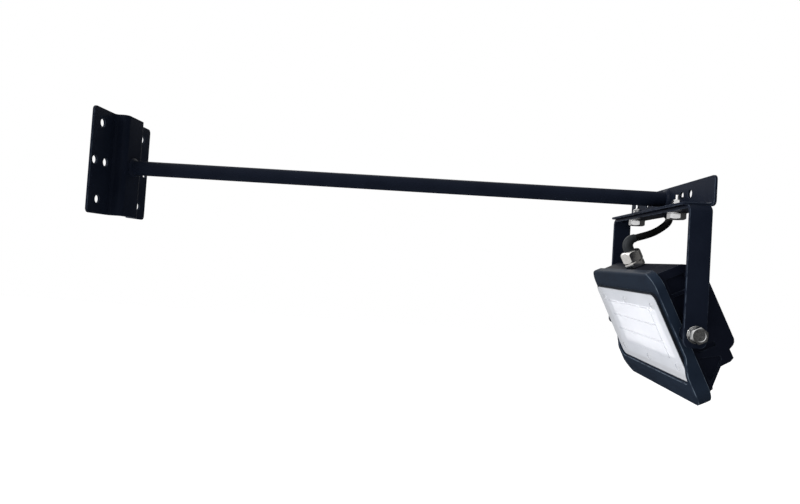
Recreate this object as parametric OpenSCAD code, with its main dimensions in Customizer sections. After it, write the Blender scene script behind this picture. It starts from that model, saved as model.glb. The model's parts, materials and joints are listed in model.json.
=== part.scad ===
// Wall-mounted LED floodlight: a wall plate, a long tube arm, an angle bracket,
// a U-shaped yoke and a lamp that tilts between the yoke's legs.
// Origin: centre of the wall plate's back face. +X points out along the arm, +Z up.

/* [Wall plate] */
// Width of the wall plate
plate_w = 145; // [130:1:180]
// Height of the wall plate
plate_h = 138; // [124:1:180]
// Thickness of the plate and arm sheet
plate_t = 3; // [2:0.5:4]
// Height of the raised middle, back face to front face
hat_rise = 20; // [14:1:30]
// Width of the raised middle, over its side walls
hat_w = 46; // [42:1:52]
// Radius inside the bends
plate_bend = 4; // [2:0.5:5]
// Corner radius of the plate
plate_r = 6; // [1:0.5:8]
// Diameter of the wall screw holes
wall_hole_d = 10.5; // [8:0.5:12]
// Distance of each hole diamond's centre from the middle
wall_hole_y = 52; // [50:0.5:54]
// Half height of each hole diamond
wall_hole_z = 50; // [30:1:52]
// Half width of each hole diamond
wall_hole_side = 12; // [11:0.5:12.5]

/* [Arm] */
// Outer diameter of the arm tube
arm_d = 20; // [18:0.5:24]
// Wall thickness of the arm tube
arm_wall = 2; // [1.5:0.25:2.5]
// Distance from the wall to the angle bracket
arm_reach = 751; // [600:1:900]
// Leg of the weld beads
weld_leg = 4; // [2:0.5:5]

/* [Angle bracket] */
// Thickness of the angle bracket
angle_t = 3; // [2.5:0.5:5]
// Length of the angle bracket
angle_len = 254; // [250:1:260]
// Height of the upright leg
angle_up = 35; // [33:1:45]
// Height of the upright leg's top above the arm axis
angle_top = 15; // [14:0.5:16]
// Depth of the flat leg
angle_out = 35; // [33:1:45]
// Corner radius of the angle bracket
angle_r = 6; // [2:0.5:8]
// Diameter of the spare round holes in the upright leg
spare_hole_d = 10.5; // [5:0.5:11]
// Distances of the spare holes from the middle
spare_hole_near = 44.5; // [36:0.5:46]
spare_hole_far = 67; // [60:0.5:90]

/* [Yoke] */
// Outer width of the yoke
yoke_w = 256; // [252:1:262]
// Width of the yoke's flat bar
yoke_bar = 25; // [24:1:30]
// Thickness of the yoke's flat bar
yoke_t = 4; // [3:0.5:5]
// Drop from the crossbar's top to the tilt axis
yoke_drop = 144.5; // [142:0.5:170]
// Length of the legs past the tilt axis
yoke_past = 15; // [13:0.5:20]
// Outer bend radius
yoke_bend = 8; // [6:0.5:10]
// Corner radius of the leg ends
leg_end_r = 7; // [2:0.5:11]
// Distance of each yoke screw from the middle
yoke_bolt_y = 65; // [50:1:75]

/* [Screws] */
// Thread diameter of the tilt screws
bolt_d = 10; // [8:0.5:12]
// Width across flats of the tilt screws' heads
bolt_af = 17; // [16:0.5:18]
// Height of the tilt screws' heads
bolt_head = 7; // [6:0.2:8]
// Thread diameter of the yoke screws
yoke_bolt_d = 12; // [10:0.5:12]
// Width across flats of the yoke screws' heads
yoke_bolt_af = 19; // [17:0.5:19]
// Height of the yoke screws' heads
yoke_bolt_head = 6.8; // [6:0.2:8]
// Diameter of the yoke screws' pilot tips
bolt_tip_d = 4.6; // [4:0.2:7]
// Length of the thread that shows above the angle bracket
bolt_show = 8.5; // [6:0.5:12]
// Length of the pilot tips
bolt_tip = 6.5; // [3:0.5:7]
// Outer diameter of the flat washers on the tilt screws
washer_d = 20; // [18:0.5:23]
// Thickness of the flat washers
washer_t = 2; // [1:0.2:2.5]
// Thickness of the spring washers
spring_t = 2.4; // [1.5:0.1:2.6]
// Outer diameter of the spring washers
spring_d = 16.4; // [15:0.2:18]
// Outer diameter of the washers under the yoke screws' heads
yoke_washer_d = 22; // [20:0.5:24]
// Thickness of the washers under the yoke screws' heads
yoke_washer_t = 1.4; // [1:0.2:2.5]
// Diameter of the small screws
screw_d = 4; // [3:0.5:4]
// Head diameter of the small screws
screw_head_d = 7.5; // [6:0.5:8]
// Head height of the small screws
screw_head = 2.6; // [2:0.2:3]

/* [Lamp frame] */
// Tilt of the lamp's face below the horizontal
lamp_tilt = 26; // [0:1:60]
// Width of the front frame
frame_w = 230; // [224:1:232]
// Height of the frame above the tilt axis
frame_top = 78; // [76:0.5:84]
// Height of the frame below the tilt axis
frame_low = 85; // [82:0.5:90]
// Wall thickness of the frame
frame_wall = 4; // [3:0.5:5]
// Distance from the tilt axis forward to the frame's face
face_out = 15; // [14:0.5:18]
// Distance that the chin stands in front of the face
chin_out = 6.5; // [4:0.5:7]
// Distance from the tilt axis forward to the frame's back
frame_back = 4.4; // [4:0.2:5]
// Upper corner radius of the frame
frame_r = 20; // [12:1:22]
// Lower corner radius of the frame
chin_r = 22; // [12:1:24]

/* [Lens and light] */
// Width of the lens
lens_w = 214; // [208:1:214]
// Height of the lens
lens_h = 108; // [100:1:110]
// Thickness of the lens
lens_t = 4; // [3:0.5:5]
// Corner radius of the lens
lens_r = 9; // [5:1:12]
// Width of the dark seal round the lens
seal_w = 1.5; // [1:0.25:2]
// Width of the bars moulded on the lens
bar_w = 152; // [140:1:156]
// Number of light-emitting rows
led_rows = 3; // [2:1:3]
// Number of chips in a row
led_count = 12; // [8:1:14]
// Width of the LED board
board_w = 188; // [180:1:188]
// Height of the LED board
board_h = 64; // [60:1:64]
// Thickness of the LED board
board_t = 1.6; // [1:0.2:2]

/* [Housing] */
// Width of the housing
house_w = 216; // [208:1:218]
// Height of the housing's top above the tilt axis
house_top = 74; // [73:0.5:75]
// Depth of the housing's low edge below the tilt axis
house_low = 72.5; // [72:0.5:73.5]
// Depth of the housing's flat top behind the tilt axis
top_flat = 25; // [25:1:28]
// Depth of the housing behind the tilt axis
house_back = 46; // [44:1:50]
// Thickness of the housing's walls
house_wall = 4; // [3:0.5:5]
// Thickness of the cooling fins
fin_t = 2.4; // [2:0.2:3]
// Spacing of the cooling fins
fin_pitch = 8.6; // [7.5:0.1:9.5]
// Number of cooling fins on each side
fin_count = 4; // [2:1:4]
// Width of the driver box
box_w = 124; // [110:1:126]
// Diameter of the tilt bosses on the housing's sides
boss_d = 22; // [18:1:24]

/* [Cable] */
// Diameter of the supply cable
cable_d = 9.5; // [7:0.5:9.5]
// Distance of the gland behind the tilt axis
gland_back = 12.5; // [10:0.5:12.5]
// Width across flats of the gland
gland_af = 24; // [22:0.5:26]
// Thread diameter of the gland
gland_thread = 20; // [18:0.5:20]

/* [Hidden] */

$fn = 48;

// Clearances
thread_gap = 0.1;
run_gap = 0.05;
side_gap = 0.2;
loose_gap = 0.3;
yoke_bolt_play = 0.6;

// Finishes
coat = [0.15, 0.17, 0.22];
coat_light = [0.33, 0.38, 0.43];
zinc = [0.75, 0.75, 0.75];
nickel = [0.8, 0.79, 0.76];
rubber = [0.06, 0.06, 0.06];
seal_grey = [0.12, 0.14, 0.18];

// Places on the arm
arm_bore = arm_d - 2 * arm_wall;
angle_low = angle_top - angle_up;
angle_back = arm_reach + angle_t;
seat_z = angle_low + angle_t;
bar_gap = 1;
edge_r = 0.6;
pivot_x = arm_reach - bar_gap - yoke_bar / 2;
pivot_z = angle_low - yoke_drop;
leg_in = yoke_w / 2 - yoke_t;

// Cable passage through the angle bracket
grommet_d = arm_bore - 1;
grommet_bore = cable_d + 0.2;
grommet_lip = 2.5;
grommet_lip_d = grommet_d + 5;
lead_entry = angle_back + grommet_lip;
core_d = 2.2;
core_ring = 1.5;
core_end = 4;

// Lamp places, measured forward and up from the tilt axis
chin_face = face_out + chin_out;
lens_mid = -1;
lens_seat = 1.5;
seal_floor = 1;
lens_back = face_out - lens_seat + seal_floor;
lens_front = lens_back + lens_t;
ledge = 5;
window_w = lens_w - 2 * ledge;
window_h = lens_h - 2 * ledge;
window_wall = 3;
gasket_t = 1;
house_front = frame_back - gasket_t;
front_plate = 6;
board_seat = 9.4;
board_front = board_seat + board_t;
board_mid = 1;
pedestal_gap = 0.5;
optic_t = 3;
optic_w = board_w - 28;
row_gap = 0.6;
bar_rise = 0.8;
bar_mid = 2;
bar_pitch = 21.7;
bar_groove = 1.4;
chip = 3;
chip_t = 0.8;
row_pitch = board_h / led_rows;
chip_pitch = optic_w / led_count;
cover_t = 6;
cover_seat = house_back - cover_t;
box_top = 62;
box_low = -32;
cover_gasket_t = 1;
driver_room = 10;
driver_len = box_w - 2 * house_wall - 2 * driver_room;
driver_h = 62;
driver_t = 26;
driver_mid = 12;
pad_t = 1;
boss_face = leg_in - side_gap - pad_t;
boss_in = lens_w / 2 - ledge + window_wall + 0.8;
boss_root = house_w / 2 - 22;
fin_gap = 7.6;
gasket_in = 1;
frame_screw_len = 14;
small_screw_d = 3;
small_head_d = 6;
small_screw_play = 0.2;
cover_screw_hole = 14;
boss_hole = bolt_d + thread_gap;
frame_screw_y = [34, house_w / 2 - 12];
frame_screw_top = 65;
frame_screw_low = -60;
board_screw_y = board_w / 2 - 4;
board_screw_z = board_h / 2 - 8;
lens_screw_y = 87;
lens_screw_z = 38.5;
lens_screw_mid = 40.5;
lens_screw_head = 1.8;
pocket_d = screw_head_d + 1;
pocket_depth = 2;
reflector_t = 1;
reflector_front = lens_back - loose_gap;
lens_boss_d = 8;
cover_screw_y = box_w / 2 - 7;

// Gland stack, measured up from the housing's top
gland_ring_t = 1.2;
gland_hex = 6;
gland_gap = 1.2;
gland_nut_h = 15.1;
gland_mid = house_top + gland_ring_t;
gland_neck_d = 17;
gland_nut_low = gland_mid + gland_hex + gland_gap;
gland_top = gland_nut_low + gland_nut_h;
gland_bore = cable_d + 0.2;
boot_d = 13.6;
boot_tip_d = 11.2;
boot_bend = 10;
boot_turn = 98;
boot_rise = 3.1;
boot_tip = 2;

// Free loop of the cable, in the part's own frame
loop_points = [[719.5, 0, -51.8], [729, 0.5, -48.5], [739, 2, -44], [748.5, 4.5, -38],
    [757, 9, -31.5], [763, 17, -25], [765.5, 28, -19], [764.5, 40, -14], [765, 52, -10],
    [770, 64, -7], [780, 73.5, -4], [793, 77.5, -2], [806.5, 75, 0], [817, 66.5, 1],
    [823, 54, 2], [824, 40, 2], [820, 27, 2], [812.5, 15.5, 1], [801.5, 6.5, 0.5],
    [788, 1.5, 0], [773, 0, 0]];

// Points along an arc
function arc(cx, cy, r, a0, a1, n) =
    [for (i = [0:n]) let (a = a0 + (a1 - a0) * i / n) [cx + r * cos(a), cy + r * sin(a)]];

// Rings of a tube along a path; side is a direction that the path never takes
function unit(v) = v / norm(v);
function heading(p, i) = unit(p[i + 1] - p[i - 1]);
function turned(side, dir) = unit(side - (side * dir) * dir);
function ring(c, a, b, r, n) = [for (k = [0:n - 1]) let (w = 360 * k / n)
    c + r * (cos(w) * a + sin(w) * b)];

module swept_tube(p, radii, n, side, dir0, dir1) {
    last = len(p) - 1;
    dirs = [for (i = [0:last]) i == 0 ? dir0 : (i == last ? dir1 : heading(p, i))];
    points = [for (i = [0:last]) let (a = turned(side, dirs[i]), b = cross(dirs[i], a))
        each ring(p[i], a, b, radii[i], n)];
    walls = [for (i = [0:last - 1], k = [0:n - 1]) let (m = (k + 1) % n)
        each [[i * n + k, i * n + m, (i + 1) * n + m],
              [i * n + k, (i + 1) * n + m, (i + 1) * n + k]]];
    caps = [[for (k = [n - 1:-1:0]) k], [for (k = [0:n - 1]) last * n + k]];
    faces = [for (f = concat(walls, caps)) [for (k = [len(f) - 1:-1:0]) f[k]]];
    polyhedron(points = points, faces = faces);
}

// Rods along each axis
module rod_x(d, x0, x1) {
    translate([x0, 0, 0]) rotate([0, 90, 0]) cylinder(d = d, h = x1 - x0);
}

module rod_y(d, y0, y1) {
    translate([0, y1, 0]) rotate([90, 0, 0]) cylinder(d = d, h = y1 - y0);
}

module ring_x(d_out, d_in, x0, x1) {
    difference() {
        rod_x(d_out, x0, x1);
        rod_x(d_in, x0 - 1, x1 + 1);
    }
}

module ring_z(d_out, d_in, z0, z1) {
    translate([0, 0, z0]) difference() {
        cylinder(d = d_out, h = z1 - z0);
        translate([0, 0, -1]) cylinder(d = d_in, h = z1 - z0 + 2);
    }
}

// Flat shape with round corners, true arcs
module round_rect(w, h, r) {
    square([w - 2 * r, h], center = true);
    square([w, h - 2 * r], center = true);
    for (sx = [-1, 1], sy = [-1, 1]) {
        translate([sx * (w / 2 - r), sy * (h / 2 - r)]) circle(r = r);
    }
}

// Flat shape with its own upper and lower corner radii, from low to top
module tall_rect(w, low, top, r_low, r_top) {
    translate([-w / 2, low + r_low]) square([w, top - low - r_low - r_top]);
    translate([-w / 2 + r_low, low]) square([w - 2 * r_low, r_low + 1]);
    translate([-w / 2 + r_top, top - r_top - 1]) square([w - 2 * r_top, r_top + 1]);
    for (s = [-1, 1]) {
        translate([s * (w / 2 - r_low), low + r_low]) circle(r = r_low);
        translate([s * (w / 2 - r_top), top - r_top]) circle(r = r_top);
    }
}

// Repeats what stands on the +Y side on the -Y side, turned about Z
module mirrored() {
    children();
    mirror([0, 1, 0]) children();
}

// Stands a flat shape up across X, its first axis along Y, from x0 to x1
module upright(x0, x1) {
    translate([x0, 0, 0]) rotate([90, 0, 90]) linear_extrude(x1 - x0) children();
}

// Draws a flat side view along the whole width w
module side_view(w) {
    rotate([90, 0, 0]) linear_extrude(w, center = true) children();
}

// Hexagon with its rounded corners cut back by a true cylinder
module hex_block(af, h) {
    intersection() {
        cylinder(d = af / cos(30), h = h, $fn = 6);
        cylinder(d = af / cos(30) - 0.6, h = h);
    }
}

// Moves the lamp's own axes onto the tilt axis; its front faces -X
module lamp() {
    translate([pivot_x, 0, pivot_z]) rotate([0, -lamp_tilt, 0]) children();
}

// Wall plate
function hat_profile() =
    let (a = plate_w / 2, c = hat_w / 2, t = plate_t, r = plate_bend, q = r + t, h = hat_rise)
    concat([[-a, 0]],
        arc(-c - r, q, q, -90, 0, 6),
        arc(-c + q, h - q, r, 180, 90, 6),
        arc(c - q, h - q, r, 90, 0, 6),
        arc(c + r, q, q, 180, 270, 6),
        [[a, 0], [a, t]],
        arc(c + r, q, r, 270, 180, 6),
        arc(c - q, h - q, q, 0, 90, 6),
        arc(-c + q, h - q, q, 90, 180, 6),
        arc(-c - r, q, r, 0, -90, 6),
        [[-a, t]]);

module wall_holes() {
    for (s = [-1, 1]) {
        for (q = [-1, 1]) {
            translate([0, s * wall_hole_y, q * wall_hole_z]) rod_x(wall_hole_d, -1, plate_t + 1);
            translate([0, s * wall_hole_y + q * wall_hole_side, 0]) rod_x(wall_hole_d, -1, plate_t + 1);
        }
    }
}

module wall_plate() {
    color(coat) difference() {
        intersection() {
            translate([0, 0, -plate_h / 2]) linear_extrude(plate_h)
                polygon([for (p = hat_profile()) [p[1], p[0]]]);
            upright(-1, hat_rise + 1) round_rect(plate_w, plate_h, plate_r);
        }
        wall_holes();
        rod_x(arm_bore, 0, hat_rise + 1);
    }
}

// Arm
module arm_tube() {
    color(coat) ring_x(arm_d, arm_bore, hat_rise, arm_reach);
}

module weld_bead() {
    rotate([0, 90, 0]) rotate_extrude() translate([arm_d / 2, 0])
        polygon(concat([[0, 0], [weld_leg, 0]], arc(weld_leg, weld_leg, weld_leg, 255, 195, 4),
        [[0, weld_leg]]));
}

module arm_welds() {
    color(coat) {
        translate([hat_rise, 0, 0]) weld_bead();
        translate([arm_reach, 0, 0]) mirror([1, 0, 0]) weld_bead();
    }
}

// Angle bracket
module bolt_places() {
    for (s = [-1, 1]) {
        translate([pivot_x, s * yoke_bolt_y, 0]) children();
    }
}

module end_angle() {
    color(coat) difference() {
        union() {
            upright(arm_reach, angle_back)
                translate([0, (angle_top + angle_low) / 2]) round_rect(angle_len, angle_up, angle_r);
            translate([angle_back - angle_out / 2, 0, angle_low]) linear_extrude(angle_t)
                rotate(90) round_rect(angle_len - 2 * angle_r, angle_out, angle_r / 2);
            translate([0, 0, seat_z]) side_view(angle_len - 2 * angle_r) difference() {
                translate([arm_reach - 2, -1]) square([3, 3]);
                translate([arm_reach - 2, 2]) circle(r = 2);
            }
        }
        rod_x(grommet_d, arm_reach - 1, angle_back + 1);
        for (s = [-1, 1], y = [spare_hole_near, spare_hole_far]) {
            translate([0, s * y, 0]) rod_x(spare_hole_d, arm_reach - 1, angle_back + 1);
        }
        bolt_places() translate([0, 0, angle_low - 1])
            cylinder(d = yoke_bolt_d + thread_gap, h = angle_t + 2);
    }
}

// Yoke
module yoke_outline() {
    difference() {
        tall_rect(yoke_w, -yoke_drop - yoke_past, 0, edge_r, yoke_bend);
        translate([0, -yoke_t])
            tall_rect(2 * leg_in, -yoke_drop - yoke_past - 5, 0, edge_r, yoke_bend - yoke_t);
    }
}

module yoke() {
    color(coat) translate([pivot_x, 0, angle_low]) difference() {
        intersection() {
            upright(-yoke_bar / 2, yoke_bar / 2) yoke_outline();
            side_view(yoke_w + 2)
                tall_rect(yoke_bar, -yoke_drop - yoke_past, 0, leg_end_r, edge_r);
        }
        for (s = [-1, 1]) {
            translate([0, s * yoke_bolt_y, -yoke_t - 1])
                cylinder(d = yoke_bolt_d + yoke_bolt_play, h = yoke_t + 2);
        }
        translate([0, 0, -yoke_drop]) rod_y(bolt_d + 2 * run_gap, -yoke_w / 2 - 1, yoke_w / 2 + 1);
    }
}

// Screws that hold the yoke under the angle bracket
module yoke_bolts() {
    head_z = angle_low - yoke_t - yoke_washer_t;
    color(zinc) bolt_places() {
        translate([0, 0, head_z - yoke_bolt_head]) rotate(30) hex_block(yoke_bolt_af, yoke_bolt_head);
        translate([0, 0, head_z]) cylinder(d = yoke_bolt_d, h = seat_z + bolt_show - head_z);
        translate([0, 0, seat_z + bolt_show]) cylinder(d = bolt_tip_d, h = bolt_tip);
    }
}

module yoke_washers() {
    color(zinc) bolt_places()
        ring_z(yoke_washer_d, yoke_bolt_d + yoke_bolt_play, angle_low - yoke_t - yoke_washer_t,
            angle_low - yoke_t);
}

// Supply cable between the wall and the angle bracket
module cable_grommet() {
    color(rubber) difference() {
        union() {
            rod_x(grommet_d, arm_reach - 2, angle_back);
            rod_x(grommet_lip_d, angle_back, lead_entry);
        }
        rod_x(grommet_bore, arm_reach - 3, lead_entry + 1);
    }
}

module arm_lead() {
    low = -(arm_bore - cable_d) / 2 + 0.2;
    near = [hat_rise - 4, 40, 65, 95, 130];
    far = [arm_reach - 90, arm_reach - 60, arm_reach - 35, arm_reach - 15, lead_entry];
    near_z = [0, 0, 0.3 * low, 0.8 * low, low];
    far_z = [low, 0.8 * low, 0.3 * low, 0, 0];
    count = floor((far[0] - near[4]) / 20);
    middle = [for (i = [1:count - 1]) [near[4] + (far[0] - near[4]) * i / count, 0, low]];
    route = concat([for (i = [0:4]) [near[i], 0, near_z[i]]], middle,
        [for (i = [0:4]) [far[i], 0, far_z[i]]]);
    color(rubber) swept_tube(route, [for (p = route) cable_d / 2], 12, [0, 1, 0], [1, 0, 0], [1, 0, 0]);
}

module lead_cores() {
    color([0.35, 0.22, 0.12]) for (k = [0:2]) {
        rotate([120 * k, 0, 0]) translate([0, 0, core_ring]) rod_x(core_d, core_end, hat_rise - 4);
    }
}

// Free loop of the supply cable
boot_mid = gland_top + boot_rise;
mouth_x = gland_back + boot_bend - boot_bend * cos(boot_turn) + boot_tip * sin(boot_turn);
mouth_z = boot_mid + boot_bend * sin(boot_turn) + boot_tip * cos(boot_turn);
mouth = [pivot_x + mouth_x * cos(lamp_tilt) - mouth_z * sin(lamp_tilt), 0,
         pivot_z + mouth_x * sin(lamp_tilt) + mouth_z * cos(lamp_tilt)];
mouth_dir = [cos(boot_turn - 90 - lamp_tilt), 0, -sin(boot_turn - 90 - lamp_tilt)];
loop_route = concat([mouth], loop_points, [[lead_entry, 0, 0]]);

module lead_loop() {
    color(rubber) swept_tube(loop_route, [for (p = loop_route) cable_d / 2], 12, [0, 0, 1],
        mouth_dir, [-1, 0, 0]);
}

// Front frame of the lamp, drawn from the side
function frame_side(t, back) =
    let (f = -face_out + t, c = -chin_face + t, e = 3)
    concat([[-back, frame_top - t]],
        arc(f + e, frame_top - t - e, e, 90, 180, 5),
        [[f, -24], [c + 0.6, -43], [c, -46]],
        [[c, -66], [c + 0.4, -68.5], [c + 2.6, -frame_low + t + 1.2], [c + 4, -frame_low + t]],
        [[-back, -frame_low + 3 + t]]);

module frame_block(t, back) {
    intersection() {
        side_view(frame_w + 2) polygon(frame_side(t, back));
        upright(-chin_face - 1, 5)
            tall_rect(frame_w - 2 * t, -frame_low + t, frame_top - t, chin_r - t / 2, frame_r - t);
    }
}

module front_frame() {
    color(coat_light) lamp() difference() {
        union() {
            difference() {
                frame_block(0, frame_back);
                frame_block(frame_wall, frame_back - 1);
            }
            upright(-face_out + 1, -frame_back) translate([0, lens_mid])
                round_rect(window_w + 2 * window_wall, window_h + 2 * window_wall, lens_r - 2);
            frame_screw_places() rod_x(9, -face_out + 1, -frame_back);
            for (s = [-1, 1], y = frame_screw_y) {
                translate([0, s * y, frame_screw_low]) rod_x(9, -chin_face + frame_wall - 1, -frame_back);
            }
        }
        upright(-chin_face - 1, 0) translate([0, lens_mid])
            round_rect(window_w, window_h, lens_r - ledge);
        upright(-chin_face - 1, -face_out + lens_seat) translate([0, lens_mid])
            round_rect(lens_w + 2 * seal_w, lens_h + 2 * seal_w, lens_r + seal_w);
        frame_screw_places() rod_x(screw_d + thread_gap, -face_out + 3, 0);
        mirrored() rod_y(boss_d + 1, boss_in, frame_w);
    }
}

module frame_screw_places() {
    for (s = [-1, 1], y = frame_screw_y) {
        translate([0, s * y, frame_screw_top]) children();
        translate([0, s * y, frame_screw_low]) children();
    }
}

// Lens and its seal
module lens() {
    color([0.85, 0.9, 0.95, 0.6]) lamp() difference() {
        union() {
            upright(-lens_front, -lens_back) translate([0, lens_mid]) round_rect(lens_w, lens_h, lens_r);
            for (i = [0:led_rows - 1]) {
                upright(-lens_front - bar_rise, -lens_front + 1)
                    translate([0, bar_mid + (i - (led_rows - 1) / 2) * bar_pitch])
                    round_rect(bar_w, bar_pitch - bar_groove, 2);
            }
        }
        lens_screw_places() {
            rod_x(screw_d + 0.4, -lens_front - 1, 0);
            rod_x(pocket_d, -lens_front - 1, -lens_front + pocket_depth);
        }
    }
}

// Screws that hold the lens, sunk in round pockets
module lens_screw_places() {
    for (q = [-1, 1]) {
        for (s = [-1, 1]) {
            translate([0, s * lens_screw_y, lens_mid + q * lens_screw_z]) children();
        }
        translate([0, 0, lens_mid + q * lens_screw_mid]) children();
    }
}

module lens_screws() {
    floor_x = -lens_front + pocket_depth;
    color(zinc) lamp() lens_screw_places() {
        rod_x(screw_head_d, floor_x - lens_screw_head, floor_x);
        rod_x(screw_d, floor_x, -board_seat + 6);
    }
}

module lens_seal() {
    color(seal_grey) lamp() difference() {
        upright(-lens_front + 0.4, -face_out + lens_seat) translate([0, lens_mid])
            round_rect(lens_w + 2 * seal_w, lens_h + 2 * seal_w, lens_r + seal_w);
        upright(-lens_front - 1, -lens_back) translate([0, lens_mid])
            round_rect(lens_w, lens_h, lens_r);
        upright(-lens_front - 1, 0) translate([0, lens_mid])
            round_rect(window_w, window_h, lens_r - ledge);
    }
}

// Light source
module reflector() {
    color("white") lamp() difference() {
        upright(-reflector_front, -reflector_front + reflector_t) translate([0, lens_mid])
            round_rect(window_w - 2 * loose_gap, window_h - 2 * loose_gap, lens_r - ledge);
        upright(-lens_front, 0) translate([0, board_mid])
            square([optic_w + 2 * loose_gap, row_pitch * led_rows], center = true);
        lens_screw_places() rod_x(screw_d + 0.4, -lens_front, 0);
    }
}

module board_screw_places() {
    for (s = [-1, 1], q = [-1, 1]) {
        translate([0, s * board_screw_y, board_mid + q * board_screw_z]) children();
    }
}

module led_board() {
    color([0.93, 0.94, 0.95]) lamp() difference() {
        upright(-board_front, -board_seat) translate([0, board_mid])
            square([board_w, board_h], center = true);
        board_screw_places() rod_x(small_screw_d + small_screw_play, -board_front - 1, 0);
    }
}

function row_z(i) = board_mid + (i - (led_rows - 1) / 2) * row_pitch;

module led_chips() {
    color([0.98, 0.9, 0.55]) lamp() for (i = [0:led_rows - 1], k = [0:led_count - 1]) {
        translate([-board_front - chip_t / 2, (k - (led_count - 1) / 2) * chip_pitch, row_z(i)])
            cube([chip_t, chip, chip], center = true);
    }
}

module led_optics() {
    color([0.95, 0.97, 1, 0.7]) lamp() for (i = [0:led_rows - 1]) {
        translate([0, 0, row_z(i)]) difference() {
            upright(-board_front - optic_t, -board_front)
                round_rect(optic_w, row_pitch - row_gap, 2);
            upright(-board_front - chip_t - loose_gap, -board_front + 1)
                square([optic_w - 6, chip + 3], center = true);
        }
    }
}

module board_screws() {
    color(zinc) lamp() board_screw_places() {
        rod_x(small_head_d, -board_front - 1.4, -board_front);
        rod_x(small_screw_d, -board_front, -board_seat + 5);
    }
}

// Housing, drawn from the side: x runs backwards from the tilt axis
function housing_side(back) =
    concat([[-house_front, house_top], [top_flat, house_top]],
        [[back - 4, 65.5], [back - 1, 63.5], [back, 61]],
        [[back, -26], [back - 1.2, -29.5], [back - 4, -32.5], [back - 9, -35]],
        [[back - 9, -46], [back - 14, -48.5], [20, -49.5], [3, -66.5], [-house_front, -house_low]]);

function ledge_side() =
    [[8, -38], [house_back - 9, -38], [house_back - 9, -46], [house_back - 14, -48.5],
     [20, -49.5], [8, -52]];

function fin_side() =
    [[-2, 70], [top_flat, 70], [house_back - 4, 63], [house_back - 1, 61], [house_back, 58],
     [house_back, -24], [house_back - 1.2, -27.5], [house_back - 4, -30.5],
     [house_back - 9, -33], [-2, -33]];

module fins() {
    first = box_w / 2 + fin_gap + fin_t / 2;
    intersection() {
        for (s = [-1, 1], i = [0:fin_count - 1]) {
            translate([0, s * (first + i * fin_pitch), 0]) side_view(fin_t) polygon(fin_side());
        }
        translate([-house_back, -house_w / 2, -house_w]) cube([3 * house_back, house_w, 2 * house_w]);
    }
}

// Shallow pockets between the ribs on the housing's sides
module side_pockets() {
    depth = 2.5;
    for (s = [-1, 1]) {
        translate([0, s * (house_w / 2 - depth / 2 + 0.5), 0]) {
            side_view(depth + 1) polygon([[1, 64], [24, 64], [24, 46], [1, 46]]);
            side_view(depth + 1) polygon([[1, 42], [24, 42], [24, 24], [15, 17], [1, 17]]);
            side_view(depth + 1) polygon([[1, -20], [24, -20], [24, -26], [1, -26]]);
            side_view(depth + 1) polygon([[1, -32], [24, -38], [24, -42], [14, -52], [1, -62]]);
        }
    }
}

module housing() {
    box_in = box_w - 2 * house_wall;
    color(coat) lamp() difference() {
        union() {
            // Front plate and its pedestal for the board
            upright(-house_front, front_plate - house_front)
                tall_rect(house_w, -house_low, house_top, 8, 8);
            upright(-board_seat, -house_front) translate([0, lens_mid])
                round_rect(window_w - 2 * pedestal_gap, window_h - 2 * pedestal_gap, lens_r - ledge);
            lens_screw_places() rod_x(lens_boss_d, -reflector_front + reflector_t, -board_seat + 1);
            // Sides
            for (s = [-1, 1]) {
                translate([0, s * (house_w - house_wall) / 2, 0])
                    side_view(house_wall) polygon(housing_side(house_back));
            }
            // Top, ledge and lower slope
            translate([0, 0, house_top - 8]) translate([-house_front, -house_w / 2, 0])
                cube([top_flat + house_front, house_w, 8]);
            side_view(house_w) polygon(ledge_side());
            side_view(house_w) polygon([[0, -50], [8, -52], [20, -49.5], [3, -66.5],
                [-house_front, -house_low], [-house_front, -60]]);
            // Driver box
            translate([0, -box_w / 2, box_low]) {
                cube([cover_seat - cover_gasket_t, box_w, box_top - box_low]);
                cube([top_flat, box_w, house_top - 4 - box_low]);
            }
            fins();
            // Tilt bosses
            mirrored() {
                rod_y(boss_d, boss_in, boss_face);
                difference() {
                    rod_y(boss_d, boss_root, boss_in + 1);
                    translate([-boss_d - house_front, 0, -boss_d]) cube([boss_d, house_w, 2 * boss_d]);
                }
            }
        }
        side_pockets();
        // Inside of the driver box
        translate([front_plate - house_front, -box_in / 2, box_low + house_wall])
            cube([house_back, box_in, box_top - box_low - 2 * house_wall]);
        // Gland thread, wire passage and screw holes
        translate([gland_back, 0, box_top - house_wall - 2])
            cylinder(d = gland_thread + thread_gap, h = house_top);
        translate([0, 0, 20]) rod_x(7, -board_seat - 1, front_plate);
        frame_screw_places() {
            rod_x(screw_d + 0.4, -house_front - 1, 20);
            rod_x(screw_head_d + 1, front_plate - house_front, 30);
        }
        board_screw_places() rod_x(small_screw_d + thread_gap, -board_seat - 1, -board_seat + 5.5);
        lens_screw_places() rod_x(screw_d + thread_gap, -lens_front, -board_seat + 6.5);
        cover_screw_places() rod_x(screw_d + thread_gap, cover_seat - cover_screw_hole, house_back);
        driver_screw_places() rod_x(small_screw_d + thread_gap, -1, front_plate - house_front + 1);
        mirrored() rod_y(boss_hole, boss_in + 1, yoke_w / 2);
    }
}

module housing_gasket() {
    color(rubber) lamp() difference() {
        upright(-frame_back, -house_front)
            tall_rect(2 * (boss_in - loose_gap), -house_low + gasket_in, house_top - gasket_in, 7, 7);
        upright(-frame_back - 1, 0) translate([0, lens_mid])
            round_rect(window_w, window_h, 4);
        frame_screw_places() rod_x(screw_d + 0.4, -frame_back - 1, 0);
    }
}

module small_screw(length) {
    rod_x(screw_head_d, 0, screw_head);
    rod_x(screw_d, -length, 0);
}

module frame_screws() {
    color(zinc) lamp() frame_screw_places() translate([front_plate - house_front, 0, 0])
        small_screw(frame_screw_len);
}

// Driver box cover and the driver
module cover_screw_places() {
    for (s = [-1, 1], z = [box_low + 6, (box_low + box_top) / 2, box_top - 6]) {
        translate([0, s * cover_screw_y, z]) children();
    }
}

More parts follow.
